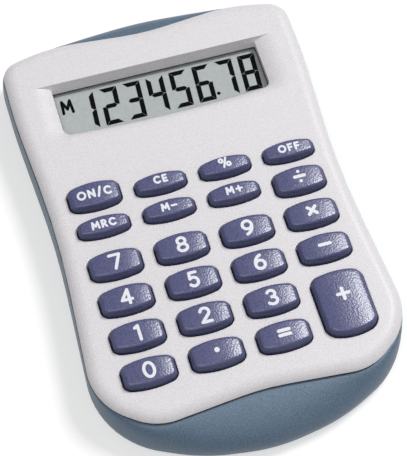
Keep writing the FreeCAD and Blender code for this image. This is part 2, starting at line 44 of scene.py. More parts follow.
# Key grid
column_pitch = 15.5
row_pitch = 9.0
key_width = 12.2
key_height = 6.95
short_key_height = 5.1
tall_key_height = 15.9
tall_key_drop = 0.55
key_arch = 0.95
tall_key_near_arch = 1.5
key_corner_radius = 1.45
short_key_corner_radius = 1.2
tall_key_corner_radius = 2.0
key_corner_least = 0.25
key_draft = math.radians(6.0)
key_collar = 0.4
key_roll_in = 0.75  # rounding between a key's walls and its top
key_roll_down = 0.7
key_fall_across = 0.62  # how far the crowned top falls towards its sides
key_fall_along = 0.14
crown_power = 2.5
crown_shares = (0.93, 0.84, 0.74, 0.63, 0.5, 0.35, 0.18)
key_sharp = math.radians(50)  # edges turning by more than this stay sharp
key_clearance = 0.24

# Heights
face_z = 11.5
underside_z = 9.9
cover_edge_z = 9.72
parting_z = 9.22
skirt_foot_z = 8.3
widest_z = 3.5
key_top_z = 13.775  # middle of a key's crowned top
print_thickness = 0.015
key_foot_z = 9.05
flange_top_z = 9.85
flange_out = 0.6
board_top_z = 6.9

# Rubber mat
mat_half = 30.4
mat_margin = 1.0
mat_top_z = 7.4
dome_foot = (8.4, 5.0)
dome_head = (6.4, 3.6)
dome_top_z = 9.0
dome_wall = 0.4
dome_roof = 0.6
dome_bevel = 0.2  # of the roof's edge
dome_bevel_in = 0.25
dome_swell = 0.05  # how far the head stands out under the bevel
short_dome_cut = 0.9
pill_size = (3.6, 1.8)
pill_thickness = 0.35
pill_gap = 0.02

# Outlines: (x, y, radius) from the near middle round to the far middle
cover_half = [
    (0.0, -9.75, 60.0), (24.9, -12.05, 13.0), (36.85, -3.2, 14.0), (33.7, 38.0, 200.0),
    (35.85, 70.3, 120.0), (35.55, 85.2, 5.0), (22.7, 88.05, 42.0), (0.0, 86.0, 60.0),
]
shell_half = [
    (0.0, -21.3, 44.0), (16.3, -18.75, 44.0), (37.1, -8.8, 20.0), (34.25, 38.0, 200.0),
    (36.0, 70.3, 120.0), (36.0, 85.65, 6.0), (19.17, 90.5, 84.0), (0.0, 92.385, 84.0),
]

# Front cover
cover_roll_in = 3.0  # width of the rounded edge
cover_roll_down = 1.55
cover_roll_end = math.radians(35)
cover_inset = 0.1  # step between the cover's edge and the shell's rim
skirt_in = 1.95
skirt_thickness = 0.95
cover_hem = 0.2  # flat foot of the cover's edge
cover_hem_break = 0.05
hole_edge = 0.12  # small rounding at the edge of each key's hole
round_middle = 0.3  # the middle of a quarter round, as a share of its radius from either end
margin = 0.5  # flat strip between a rounding and the face beyond it

# Rear shell
shell_rim = 1.8
rim_depth = 3.0
rim_edge = 0.15
groove_in = 0.26  # dark groove in the rim under the cover's edge
groove_width = 0.9
groove_depth = 1.2
groove_edge = 0.08
flank_start = math.radians(3)
foot_radius = 2.5
foot_margin = 0.4
foot_steepest = math.radians(76)
near_hub_y = 5.0  # the flank's rays fan out round the ends from here, and run straight across between
far_hub_y = 75.3
fine_sampling = (1.5, 1.0)  # degrees, millimetres

# Window over the display
window_half = 25.4
window_near_y = 63.4
window_far_y = 75.8
window_foot_z = 8.5
window_bow = 1.0  # the near edge bows outwards by this much
roll_side = 4.7
roll_near = 2.6
roll_depth = 1.5
far_wall_slope = math.radians(17.0)
near_corner = 1.6
far_corner = 0.35
corner_growth_side = 0.55  # the near corners open out with the rolled lips
corner_growth_near = 0.75
shaft_edge = 0.2
# Black band at the foot of the window's walls: painted shade for the shadow and the shaded gap there
shade_band_width = 0.28
shade_band_in_wall = 0.05
shade_band_lift = 0.03
shade_band_taper = 2.0

# Seat of the display under the window: half width, near and far end
seat_half = 29.5
seat_near_y = 58.1
seat_far_y = 79.1
seat_wall = 1.0
seat_wall_gap = 0.6
seat_wall_top = 0.02  # under the seat
seat_foot_z = 6.2

# Screws in the back
screw_places = [(28.0, 81.2), (-28.0, 81.2), (14.5, -6.8), (-14.5, -6.8)]
head_hole_radius = 2.2
head_hole_edge = 0.1
head_hole_margin = 0.3
head_foot_z = 1.3
head_top_z = 2.5
head_radius = 1.9
head_rounding = [(1.0, 0.5), (0.94, 0.2), (0.8, 0.04), (0.7, 0.0)]  # share of the radius, height
cross_half_length = 1.05
cross_half_width = 0.24
cross_depth = 0.7
cross_taper = 0.7

# Camera: its place, and the directions of the picture's right, foot and depth
photo_width = 407
photo_height = 456
focal_pixels = 1684.0
camera_x = -63.727
camera_y = -130.4
camera_z = 353.52
camera_right = (0.95576, -0.291878, 0.036475)
camera_down = (-0.24524, -0.859154, -0.449133)
camera_ahead = (0.162439, 0.420313, -0.892719)
sensor = 36.0

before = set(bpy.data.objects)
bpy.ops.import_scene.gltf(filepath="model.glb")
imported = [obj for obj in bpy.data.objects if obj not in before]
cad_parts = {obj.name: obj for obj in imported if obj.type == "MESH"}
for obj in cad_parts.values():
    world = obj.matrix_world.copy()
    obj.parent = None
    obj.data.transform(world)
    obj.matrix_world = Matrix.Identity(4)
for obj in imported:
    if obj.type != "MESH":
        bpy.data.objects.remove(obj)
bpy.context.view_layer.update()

low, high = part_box("key_0")
row_zero_y = (low.y + high.y) / 2 / MM


def place(x, y, z):
    return Vector((x * MM, (y + row_zero_y) * MM, z * MM))


# Outlines

def mirrored(half):
    return half + [(-x, y, radius) for x, y, radius in reversed(half[1:-1])]


def sampled(corners, degrees=4.0, run=3.0):
    """Ring of (point, outward direction) round an outline of rounded corners."""
    points = [Vector((x, y)) for x, y, radius in corners]
    count = len(points)
    arcs = []
    for index, point in enumerate(points):
        arriving = (point - points[index - 1]).normalized()
        leaving = (points[(index + 1) % count] - point).normalized()
        turn = math.atan2(arriving.x * leaving.y - arriving.y * leaving.x, arriving.dot(leaving))
        radius = corners[index][2]
        start = point - arriving * radius * math.tan(abs(turn) / 2)
        steps = max(2, math.ceil(abs(math.degrees(turn)) / degrees))
        inward = Vector((-arriving.y, arriving.x)) * math.copysign(1.0, turn)
        centre = start + inward * radius
        arc = []
        for step in range(steps + 1):
            angle = turn * step / steps
            spoke = Matrix.Rotation(angle, 2) @ (start - centre)
            along = Matrix.Rotation(angle, 2) @ arriving
            arc.append((centre + spoke, Vector((along.y, -along.x))))
        arcs.append(arc)
    ring = []
    for index, arc in enumerate(arcs):
        ring += arc
        end, normal = arc[-1]
        following = arcs[(index + 1) % count][0][0]
        pieces = max(1, math.ceil((following - end).length / run))
        for step in range(1, pieces):
            ring.append((end.lerp(following, step / pieces), normal))
    return ring


def offset(ring, out):
    return [point + normal * out for point, normal in ring]


def at_height(points, z):
    return [place(point.x, point.y, z) for point in points]


# Mesh building

class Surface:
    """Rings of points joined by quads, and flat faces with holes."""

    def __init__(self):
        self.points = []
        self.faces = []

    def ring(self, points):
        first = len(self.points)
        self.points += points
        return list(range(first, len(self.points)))

    def bridge(self, ring_a, ring_b):
        count = len(ring_a)
        for index in range(count):
            after = (index + 1) % count
            self.faces.append((ring_a[index], ring_a[after], ring_b[after], ring_b[index]))

    def stack(self, rings):
        """Joins each ring of points to the next and gives the first and last ring."""
        made = [self.ring(points) for points in rings]
        for lower, upper in zip(made, made[1:]):
            self.bridge(lower, upper)
        return made[0], made[-1]

    def flat(self, outer, holes=()):
        """Flat face inside a ring, without its holes."""
        used = list(outer)
        loops = [list(range(len(outer)))]
        for hole in holes:
            loops.append(list(range(len(used), len(used) + len(hole))))
            used += hole
        edges = []
        for loop in loops:
            edges += [(loop[i], loop[(i + 1) % len(loop)]) for i in range(len(loop))]
        flat_points = [(self.points[i] / MM).to_2d() for i in used]
        rings = [[flat_points[i] for i in loop] for loop in loops]
        made = delaunay_2d_cdt(flat_points, edges, [], 1, tiny)
        origins = made[3]
        for triangle in made[2]:
            corners = [origins[corner][0] for corner in triangle]
            middle = sum((flat_points[corner] for corner in corners), Vector((0.0, 0.0))) / 3
            if inside(middle, rings[0]) and not any(inside(middle, ring) for ring in rings[1:]):
                self.faces.append(tuple(used[corner] for corner in corners))

    def cap(self, ring, centre):
        """Fan from a ring to one point."""
        middle = self.ring([centre])[0]
        for index in range(len(ring)):
            self.faces.append((ring[index], ring[(index + 1) % len(ring)], middle))

    def make(self, name, material, sharp=math.radians(38)):
        mesh = bpy.data.meshes.new(name)
        mesh.from_pydata([tuple(point) for point in self.points], [], self.faces)
        mesh.validate()
        piece = bpy.data.objects.new(name, mesh)
        bpy.context.collection.objects.link(piece)
        outward_faces(mesh)
        mesh.shade_smooth()
        mesh.set_sharp_from_angle(angle=sharp)
        mesh.materials.append(material)
        return piece


def inside(point, ring):
    """Whether a flat point lies within a ring of flat points."""
    crossings = False
    for index, here in enumerate(ring):
        before = ring[index - 1]
        if (here.y > point.y) != (before.y > point.y):
            share = (point.y - here.y) / (before.y - here.y)
            if point.x < here.x + share * (before.x - here.x):
                crossings = not crossings
    return crossings


def outward_faces(mesh):
    grid = bmesh.new()
    grid.from_mesh(mesh)
    bmesh.ops.remove_doubles(grid, verts=grid.verts, dist=weld)
    bmesh.ops.recalc_face_normals(grid, faces=grid.faces)
    grid.to_mesh(mesh)
    grid.free()


# Materials

class Nodes:
    """Short way to put a material's nodes down."""

    def __init__(self, name):
        self.material = bpy.data.materials.new(name)
        self.material.use_nodes = True
        self.tree = self.material.node_tree
        self.shader = self.tree.nodes["Principled BSDF"]

    def node(self, kind, **inputs):
        made = self.tree.nodes.new(kind)
        for name, value in inputs.items():
            made.inputs[name.replace("_", " ")].default_value = value
        return made

    def link(self, source, target):
        self.tree.links.new(source, target)

    def set(self, **inputs):
        for name, value in inputs.items():
            self.shader.inputs[name.replace("_", " ")].default_value = value


def linear(red, green, blue):
    """Linear colour of a 0 to 255 screen colour."""
    values = []
    for part in (red, green, blue):
        share = part / 255.0
        values.append(share / 12.92 if share <= 0.04045 else ((share + 0.055) / 1.055) ** 2.4)
    return (*values, 1.0)


def texture(nodes, kind, **inputs):
    """Texture laid over the object, its scale in waves per metre."""
    where = nodes.node("ShaderNodeTexCoord")
    made = nodes.node(kind, **inputs)
    nodes.link(where.outputs["Object"], made.inputs["Vector"])
    return made


def grain(nodes, waves, detail=3.0):
    return texture(nodes, "ShaderNodeTexNoise", Scale=waves, Detail=detail).outputs["Fac"]


colour_range = (0.35, 0.65)  # part of the grain over which the colour changes
value_range = (0.3, 0.7)
gloss_spread = 0.05
relief_height = 0.0001  # of the deepest grain, in metres


def two_tone(nodes, source, dark, light):
    """Colour between a dark and a light screen colour."""
    made = nodes.node("ShaderNodeValToRGB")
    for element, position, colour in zip(made.color_ramp.elements, colour_range, (dark, light)):
        element.position = position
        element.color = linear(*colour)
    nodes.link(source, made.inputs["Fac"])
    return made.outputs["Color"]


def bump(nodes, height, strength):
    made = nodes.node("ShaderNodeBump", Strength=strength, Distance=relief_height)
    nodes.link(height, made.inputs["Height"])
    nodes.link(made.outputs["Normal"], nodes.shader.inputs["Normal"])


def spread(nodes, source, low_value, high_value, source_range=value_range):
    made = nodes.node("ShaderNodeMapRange", From_Min=source_range[0], From_Max=source_range[1],
                      To_Min=low_value, To_Max=high_value)
    nodes.link(source, made.inputs["Value"])
    return made.outputs["Result"]


def speckled(name, dark, light, waves, roughness, relief, **extra):
    """Material with a fine grain in its colour, gloss and surface."""
    nodes = Nodes(name)
    fine = grain(nodes, waves)
    gloss = spread(nodes, fine, roughness - gloss_spread, roughness + gloss_spread)
    nodes.link(two_tone(nodes, fine, dark, light), nodes.shader.inputs["Base Color"])
    nodes.link(gloss, nodes.shader.inputs["Roughness"])
    bump(nodes, fine, relief)
    nodes.set(**extra)
    return nodes.material


cover_plastic = speckled("cover_plastic", (213, 210, 213), (240, 237, 240),
                         waves=5200.0, roughness=0.45, relief=0.1)
shell_plastic = speckled("shell_plastic", (80, 99, 118), (110, 132, 153),
                         waves=5200.0, roughness=0.46, relief=0.2, Metallic=0.1)
rubber_dark = speckled("mat_rubber", (60, 60, 64), (74, 74, 78),
                       waves=2500.0, roughness=0.7, relief=0.1)
# painted shade: black for the band at the foot of the window's walls
painted_shade_black = speckled("window_shade_band", (14, 15, 18), (24, 25, 28),
                      waves=3000.0, roughness=0.5, relief=0.1)
screw_steel = speckled("screw_steel", (150, 152, 155), (176, 178, 180),
                       waves=4000.0, roughness=0.32, relief=0.1, Metallic=1.0)


def blended(nodes, share, low_source, high_source, kind="FLOAT"):
    """Mixes two values or colours by a share."""
    made = nodes.node("ShaderNodeMix")
    made.data_type = kind
    low_input, high_input, result = {"FLOAT": (2, 3, 0), "RGBA": (6, 7, 2)}[kind]
    nodes.link(share, made.inputs[0])
    nodes.link(low_source, made.inputs[low_input])
    nodes.link(high_source, made.inputs[high_input])
    return made.outputs[result]


def combined(nodes, operation, source, other):
    """Sum, product or the like of a value with another value or a number."""
    made = nodes.node("ShaderNodeMath")
    made.operation = operation
    nodes.link(source, made.inputs[0])
    if isinstance(other, float):
        made.inputs[1].default_value = other
    else:
        nodes.link(other, made.inputs[1])
    return made.outputs[0]


# Surface of the keys
grain_waves = 2600.0
pit_waves = 2300.0
line_waves = 700.0
line_depth = 2.5
key_relief = 0.3
top_facing = (0.4, 0.9)  # upward part of the facing, from the walls to the top
wall_roughness = (0.55, 0.65)
top_roughness = (0.25, 0.32)


def key_plastic_material():
    """Blue-violet moulded keys: leathery grain on top, fine upright lines on the walls, and walls painted
    darker as shade.
    """
    nodes = Nodes("key_plastic")
    fine = grain(nodes, grain_waves, 4.0)
    facing = nodes.node("ShaderNodeSeparateXYZ")
    shape = nodes.node("ShaderNodeNewGeometry")
    nodes.link(shape.outputs["True Normal"], facing.inputs["Vector"])
    share = spread(nodes, facing.outputs["Z"], 0.0, 1.0, top_facing)
    top_colour = two_tone(nodes, fine, (80, 82, 122), (96, 98, 138))
    # Painted shade: the walls take a darker copy of the key colour, blended in by how far the surface faces
    # up
    wall_shaded_colour = two_tone(nodes, fine, (60, 65, 104), (76, 81, 122))
    nodes.link(blended(nodes, share, wall_shaded_colour, top_colour, "RGBA"), nodes.shader.inputs["Base Color"])
    wall_gloss = spread(nodes, fine, *wall_roughness)
    top_gloss = spread(nodes, fine, *top_roughness)
    nodes.link(blended(nodes, share, wall_gloss, top_gloss), nodes.shader.inputs["Roughness"])
    nodes.set(Specular_IOR_Level=0.7)
    pits = texture(nodes, "ShaderNodeTexVoronoi", Scale=pit_waves)
    lines = texture(nodes, "ShaderNodeTexWave", Scale=line_waves, Distortion=1.0, Detail=1.0)
    deep_lines = combined(nodes, "MULTIPLY", lines.outputs["Fac"], line_depth)
    bump(nodes, blended(nodes, share, deep_lines, pits.outputs["Distance"]), key_relief)
    return nodes.material


key_plastic = key_plastic_material()
legend_ink = speckled("legend_ink", (228, 230, 238), (242, 243, 248),
                      waves=5000.0, roughness=0.5, relief=0.05)
segment_ink = speckled("segment_ink", (8, 9, 12), (14, 15, 18),
                       waves=5000.0, roughness=0.8, relief=0.02, Specular_IOR_Level=0.05)
display_grey = speckled("display_glass", (188, 194, 195), (195, 201, 202),
                        waves=900.0, roughness=0.5, relief=0.01, Specular_IOR_Level=0.2)


def clear_material(waves=700.0, smoothest=0.04, roughest=0.09):
    nodes = Nodes("clear_pane")
    gloss = spread(nodes, grain(nodes, waves), smoothest, roughest)
    nodes.link(gloss, nodes.shader.inputs["Roughness"])
    nodes.set(Base_Color=(0.02, 0.025, 0.025, 1.0), Alpha=0.05)
    return nodes.material


clear_pane = clear_material()
steel = speckled("can_metal", (170, 172, 175), (190, 192, 195),
                 waves=3000.0, roughness=0.3, relief=0.05, Metallic=1.0)
brass = speckled("spring_brass", (190, 160, 90), (210, 180, 110),
                 waves=3000.0, roughness=0.3, relief=0.05, Metallic=1.0)
laminate = speckled("board_laminate", (34, 84, 58), (44, 98, 68),
                    waves=2000.0, roughness=0.45, relief=0.1)
resin_black = speckled("resin", (16, 16, 18), (28, 28, 30),
                       waves=1500.0, roughness=0.3, relief=0.1)
carbon = speckled("contact_carbon", (22, 22, 24), (34, 34, 36),
                  waves=4000.0, roughness=0.6, relief=0.1)
film_silver = speckled("reflector_film", (186, 188, 188), (204, 206, 206),
                       waves=2500.0, roughness=0.3, relief=0.05)
foam_grey = speckled("foam", (96, 96, 100), (122, 122, 126),
                     waves=1800.0, roughness=0.9, relief=0.5)
amber_film = speckled("ribbon_film", (176, 120, 52), (190, 134, 62),
                      waves=1500.0, roughness=0.35, relief=0.05)


# Front cover

def key_ring(key, grow, z, steps=6, side_steps=12):
    """Smooth outline of a key, grown by a margin."""
    name, x, y, height, near_arch, far_arch = key
    half = key_width / 2 + grow
    reach = height / 2 + grow
    corner = key_corner_radius
    if name == "key_plus":
        corner = tall_key_corner_radius
    elif height == short_key_height:
        corner = short_key_corner_radius
    radius = max(key_corner_least, corner + grow)
    flat = []
    for side_x, side_y, first in ((1, -1, -90), (1, 1, 0), (-1, 1, 90), (-1, -1, 180)):
        for step in range(steps + 1):
            angle = math.radians(first + 90.0 * step / steps)
            flat.append((side_x * (half - radius) + radius * math.cos(angle),
                         side_y * (reach - radius) + radius * math.sin(angle)))
        if side_x == side_y:
            from_x = side_y * (half - radius)
            for step in range(1, side_steps):
                flat.append((from_x - 2 * from_x * step / side_steps, side_y * reach))
    points = []
    for across, along in flat:
        arch = near_arch if along < 0 else far_arch
        drawn_in = math.copysign(arch * min(1.0, abs(along) / (height / 2)) * (across / half) ** 2, along)
        points.append(place(x + across, y + along - drawn_in, z))
    return points


def key_list():
    """Every key: name, middle x, middle y, height, near arch, far arch."""
    short_shift = (key_height - short_key_height) / 2
    grid = [
        ["key_0", "key_point", "key_equals", None],
        ["key_1", "key_2", "key_3", None],
        ["key_4", "key_5", "key_6", "key_minus"],
        ["key_7", "key_8", "key_9", "key_times"],
        ["key_memory_recall", "key_memory_minus", "key_memory_plus", "key_divide"],
        ["key_on_clear", "key_clear_entry", "key_percent", "key_off"],
    ]
    low_set = ("key_clear_entry", "key_percent", "key_off")
    keys = []
    for row, names in enumerate(grid):
        for column, name in enumerate(names):
            if name is None:
                continue
            y = row * row_pitch
            height = key_height
            if name.startswith("key_memory"):
                height = short_key_height
                y += short_shift
            elif name in low_set:
                height = short_key_height
                y -= short_shift
            keys.append((name, (column - 1.5) * column_pitch, y, height, key_arch, key_arch))
    tall_y = 0.5 * row_pitch - tall_key_drop
    keys.append(("key_plus", 1.5 * column_pitch, tall_y, tall_key_height, tall_key_near_arch, key_arch))
    return keys


def roll_out(roll, depth):
    """How far a lip stands out at a depth below the face."""
    radius = (roll * roll + roll_depth * roll_depth) / (2 * roll_depth)
    return max(0.0, roll - math.sqrt(max(0.0, radius * radius - (radius - depth) ** 2)))


def window_ring(out_side, out_near, z, steps=9):
    """Ring round the window: bowed near edge, rounded near corners and a far wall that leans back."""
    half = window_half + out_side
    near_y = window_near_y - out_near
    far_y = window_far_y + (z - window_foot_z) * math.tan(far_wall_slope)
    corner_x = near_corner + corner_growth_side * out_side
    corner_y = near_corner + corner_growth_near * out_near
    right = [((half - corner_x) * step / steps, near_y) for step in range(steps)]
    for step in range(steps):
        angle = math.radians(90.0 * step / (steps - 1))
        right.append((half - corner_x * (1 - math.sin(angle)), near_y + corner_y * (1 - math.cos(angle))))
    side_from = near_y + corner_y
    side_to = far_y - far_corner
    for step in range(1, steps + 1):
        right.append((half, side_from + (side_to - side_from) * step / steps))
    right.append((half - round_middle * far_corner, far_y - round_middle * far_corner))
    right.append((half - far_corner, far_y))
    for step in range(steps - 1, 0, -1):
        right.append(((half - far_corner) * step / steps, far_y))
    left = [(-x, y) for x, y in reversed(right[1:])]
    ring = []
    for x, y in right + [(0.0, far_y)] + left:
        nearness = min(1.0, max(0.0, (far_y - y) / (far_y - near_y)))
        ring.append(place(x, y - nearness * window_bow * (1 - (x / half) ** 2), z))
    return ring


def rectangle(left_x, right_x, near_y, far_y, z):
    return [place(left_x, near_y, z), place(right_x, near_y, z),
            place(right_x, far_y, z), place(left_x, far_y, z)]


def window_walls(surface, steps=9):
    """Rolled lips and shaft down to the display's seat; gives the rings in the face and the seat."""
    side_radius = (roll_side ** 2 + roll_depth ** 2) / (2 * roll_depth)
    side_turn = math.asin(roll_side / side_radius)
    rings = [window_ring(roll_side + margin, roll_near + margin, face_z)]
    for step in range(steps + 1):
        depth = side_radius * (1 - math.cos(side_turn * step / steps))
        rings.append(window_ring(roll_out(roll_side, depth), roll_out(roll_near, depth), face_z - depth))
    rings.append(window_ring(0.0, 0.0, face_z - roll_depth - shaft_edge))
    rings.append(window_ring(0.0, 0.0, window_foot_z))
    return surface.stack(rings)


def display_seat(surface, window_foot):
    """Block round the window's foot and the low walls round the glass; gives its ring in the underside."""
    upper, seat_edge = surface.stack([rectangle(-seat_half, seat_half, seat_near_y, seat_far_y, z)
                                      for z in (underside_z, window_foot_z)])
    inner = seat_half - seat_wall
    wall_near_y = seat_near_y + seat_wall_gap
    wall_far_y = seat_far_y - seat_wall
    right = [(inner, wall_far_y), (inner, wall_near_y), (seat_half, wall_near_y), (seat_half, seat_far_y)]
    wall = [(-x, y) for x, y in reversed(right)] + right
    foot, top = surface.stack([[place(x, y, z) for x, y in wall]
                               for z in (seat_foot_z, window_foot_z - seat_wall_top)])
    surface.flat(foot)
    surface.flat(top)
    surface.flat(seat_edge, [window_foot])
    return upper


def cover_face(keys, steps=12):
    """Whole front cover: skirt, rolled edge, face, window and key holes."""
    outline = sampled(mirrored(cover_half))
    surface = Surface()
    skirt_inside = skirt_in + skirt_thickness
    levels = [(skirt_inside, underside_z), (skirt_inside, skirt_foot_z), (skirt_in, skirt_foot_z),
              (skirt_in, cover_edge_z), (cover_inset + cover_hem, cover_edge_z),
              (cover_inset + cover_hem_break, cover_edge_z + cover_hem_break)]
    for step in range(steps + 1):
        angle = cover_roll_end + (math.pi / 2 - cover_roll_end) * step / steps
        inset = cover_roll_in * (1 - math.cos(angle) / math.cos(cover_roll_end))
        fall = cover_roll_down * (1 - math.sin(angle)) / (1 - math.sin(cover_roll_end))
        levels.append((cover_inset + inset, face_z - fall))
    levels.append((cover_inset + cover_roll_in + margin, face_z))
    under, top = surface.stack([at_height(offset(outline, -inset), z) for inset, z in levels])
    window_top, window_foot = window_walls(surface)
    holes_top = [window_top]
    holes_under = [display_seat(surface, window_foot)]
    eased = hole_edge * round_middle
    hole_levels = [(2 * hole_edge, face_z), (hole_edge, face_z), (eased, face_z - eased),
                   (0.0, face_z - hole_edge), (0.0, underside_z)]
    for key in keys:
        upper, lower = surface.stack([key_ring(key, key_clearance + out, z) for out, z in hole_levels])
        holes_top.append(upper)
        holes_under.append(lower)
    surface.flat(top, holes_top)
    surface.flat(under, holes_under)
    piece = surface.make("cover_face", cover_plastic)
    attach(piece, "housing")
    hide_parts("front_cover")


def window_shade_band():
    """Painted shade: thin black band for the shadow and the shaded gap where the clear pane meets the
    walls.
    """
    surface = Surface()
    width = shade_band_width * MM
    outer = window_ring(shade_band_in_wall, shade_band_in_wall, window_foot_z + shade_band_lift)
    centre = place(0.0, (window_near_y + window_far_y) / 2, window_foot_z + shade_band_lift)
    inner = []
    for point in outer:
        away = point - centre
        inwards_x = math.copysign(width, away.x) * min(1.0, abs(away.x) / (shade_band_taper * MM))
        inwards_y = math.copysign(width, away.y)
        inner.append(centre + Vector((away.x - inwards_x, away.y - inwards_y, 0.0)))
    surface.stack([outer, inner])
    piece = surface.make("window_shade_band", painted_shade_black)
    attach(piece, "housing")


# Rear shell

def ray_end(ring, hub, outward):
    """Where a ray from inside meets a ring of points."""
    side = Vector((-outward.y, outward.x))
    best = None
    for index, point in enumerate(ring):
        after = ring[(index + 1) % len(ring)]
        from_side = (point - hub).dot(side)
        to_side = (after - hub).dot(side)
        if from_side * to_side > 0 or from_side == to_side:
            continue
        hit = point.lerp(after, from_side / (from_side - to_side))
        reach = (hit - hub).dot(outward)
        if reach > 0 and (best is None or reach > best[0]):
            best = (reach, hit)
    return best[1]


def flank_rays(side_steps=26):
    """Where each ray meets the rim and the widest outline, all the way round."""
    rim = [point for point, normal in sampled(mirrored(cover_half), *fine_sampling)]
    widest = [point for point, normal in sampled(mirrored(shell_half), *fine_sampling)]
    side = far_hub_y - near_hub_y
    half = [(near_hub_y, math.radians(degrees)) for degrees in range(-90, 0, 3)]
    half += [(near_hub_y + side * step / side_steps, 0.0) for step in range(side_steps)]
    half += [(far_hub_y, math.radians(degrees)) for degrees in [*range(0, 30), *range(30, 91, 3)]]
    rays = []
    for hub_y, angle in half:
        hub = Vector((0.0, hub_y))
        outward = Vector((math.cos(angle), math.sin(angle)))
        rays.append((ray_end(rim, hub, outward), ray_end(widest, hub, outward), outward))
    for inner, outer, outward in reversed(rays[1:-1]):
        rays.append(tuple(Vector((-vector.x, vector.y)) for vector in (inner, outer, outward)))
    return rays


def flank_ring(rays, share, inset, z):
    return at_height([inner.lerp(outer, share) - outward * inset for inner, outer, outward in rays], z)


def circle(x, y, radius, z, count=32):
    points = []
    for step in range(count):
        angle = 2 * math.pi * step / count
        points.append(place(x + radius * math.cos(angle), y + radius * math.sin(angle), z))
    return points


def shell_body(steps=14, foot_steps=6):
    """Rear shell: grooved rim, swelling flank, rounded foot and the wells of the screws."""
    rays = flank_rays()
    rim_height = parting_z - widest_z
    groove_end = groove_in + groove_width
    rim = [(shell_rim, rim_depth), (shell_rim, rim_edge), (shell_rim - rim_edge, 0.0), (groove_end, 0.0),
           (groove_end, groove_depth), (groove_in, groove_depth), (groove_in, groove_edge),
           (groove_in - groove_edge, 0.0)]
    rings = [flank_ring(rays, 0.0, inset, parting_z - depth) for inset, depth in rim]
    for step in range(steps + 1):
        angle = flank_start + (math.pi / 2 - flank_start) * step / steps
        rings.append(flank_ring(rays, math.sin(angle), 0.0, widest_z + rim_height * math.cos(angle)))
    for step in range(1, foot_steps + 1):
        angle = foot_steepest * step / foot_steps
        z = foot_radius * (1 - math.sin(angle) / math.sin(foot_steepest))
        rings.append(flank_ring(rays, 1.0, foot_radius * (1 - math.cos(angle)), z))
    inset = foot_radius * (1 - math.cos(foot_steepest))
    rings.append(flank_ring(rays, 1.0, inset + foot_margin, 0.0))
    surface = Surface()
    top, bottom = surface.stack(rings)
    holes = []
    for x, y in screw_places:
        well = [(head_hole_margin, 0.0), (head_hole_edge, 0.0), (0.0, head_hole_edge), (0.0, head_top_z)]
        first, last = surface.stack([circle(x, y, head_hole_radius + out, z) for out, z in well])
        holes.append(first)
        surface.cap(last, place(x, y, head_top_z))
    surface.flat(bottom, holes)
    piece = surface.make("shell_body", shell_plastic)
    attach(piece, "housing")
    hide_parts("rear_shell")


# Keys and their legends

def crown_z(key, x, y):
    """Height of a key's crowned top at a place."""
    across = abs(x - key[1]) / (key_width / 2)
    along = abs(y - key[2]) / (key[3] / 2)
    return key_top_z - key_fall_across * across ** crown_power - key_fall_along * along ** crown_power


def crowned(key, ring, share, low_z=None, rise=1.0):
    """Ring drawn in towards the middle of a key's top, laid on the crown or part of the way up to it."""
    points = []
    for point in ring:
        x = key[1] + (point.x / MM - key[1]) * share
        y = key[2] + (point.y / MM - row_zero_y - key[2]) * share
        z = crown_z(key, x, y)
        if low_z is not None:
            z = low_z + (z - low_z) * rise
        points.append(place(x, y, z))
    return points


def keycap(key, steps=6):
    """Flange, drafted walls, a rounded edge and a top that is crowned like a pillow."""
    surface = Surface()
    wall_top_z = key_top_z - key_fall_across - key_roll_down
    draft_in = (wall_top_z - underside_z - key_collar) * math.tan(key_draft)
    levels = [(flange_out, key_foot_z), (flange_out, flange_top_z), (0.0, flange_top_z),
              (0.0, underside_z + key_collar), (-draft_in, wall_top_z)]
    rings = [key_ring(key, out, z) for out, z in levels]
    for step in range(1, steps + 1):
        angle = math.radians(90.0 * step / steps)
        ring = key_ring(key, -draft_in - key_roll_in * (1 - math.cos(angle)), wall_top_z)
        rings.append(crowned(key, ring, 1.0, wall_top_z, math.sin(angle)))
    for share in crown_shares:
        rings.append(crowned(key, ring, share))
    foot, top = surface.stack(rings)
    surface.cap(top, place(key[1], key[2], key_top_z))
    surface.flat(foot)
    piece = surface.make(key[0] + "_top", key_plastic, key_sharp)
    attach(piece, key[0] + "_cap")
    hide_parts(key[0])


# Rubber mat with a dome under each key, and the carbon pills in the domes

def oblong(x, y, size, z):
    half = size[0] / 2
    reach = size[1] / 2
    return rectangle(x - half, x + half, y - reach, y + reach, z)


def shortened(key, size, share=1.0):
    """Size of what lies under a key, cut down under a short key."""
    cut = short_dome_cut if key[3] == short_key_height else 0.0
    return size[0], size[1] - cut * share


def widened(size, out):
    return size[0] + 2 * out, size[1] + 2 * out


def mat_sheet(keys):
    surface = Surface()
    size = (2 * mat_half, 5 * row_pitch + key_height + 2 * mat_margin)
    middle_y = 2.5 * row_pitch
    heights = (board_top_z, mat_top_z)
    lower, upper = surface.stack([oblong(0.0, middle_y, size, z) for z in heights])
    mouths = []
    for key in keys:
        opening = shortened(key, dome_foot)
        mouths.append(surface.stack([oblong(key[1], key[2], opening, z) for z in heights]))
    surface.flat(lower, [mouth[0] for mouth in mouths])
    surface.flat(upper, [mouth[1] for mouth in mouths])
    piece = surface.make("mat_sheet", rubber_dark)
    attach(piece, "housing")
    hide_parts("keypad_mat")


def dome(key):
    """Hollow rubber dome under a key."""
    name, x, y = key[:3]
    foot = shortened(key, dome_foot)
    head = shortened(key, dome_head)
    surface = Surface()
    outer_foot, outer_top = surface.stack([
        oblong(x, y, foot, board_top_z),
        oblong(x, y, foot, mat_top_z),
        oblong(x, y, widened(head, dome_swell), dome_top_z - dome_bevel),
        oblong(x, y, widened(head, -dome_bevel_in), dome_top_z)])
    surface.flat(outer_top)
    inner_foot, inner_top = surface.stack([
        oblong(x, y, widened(foot, -dome_wall), board_top_z),
        oblong(x, y, widened(head, -dome_wall), dome_top_z - dome_roof)])
    surface.flat(inner_top)
    surface.bridge(outer_foot, inner_foot)
    piece = surface.make(name + "_dome", rubber_dark)
    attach(piece, "housing")
    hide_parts("keypad_mat")
    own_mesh(piece)


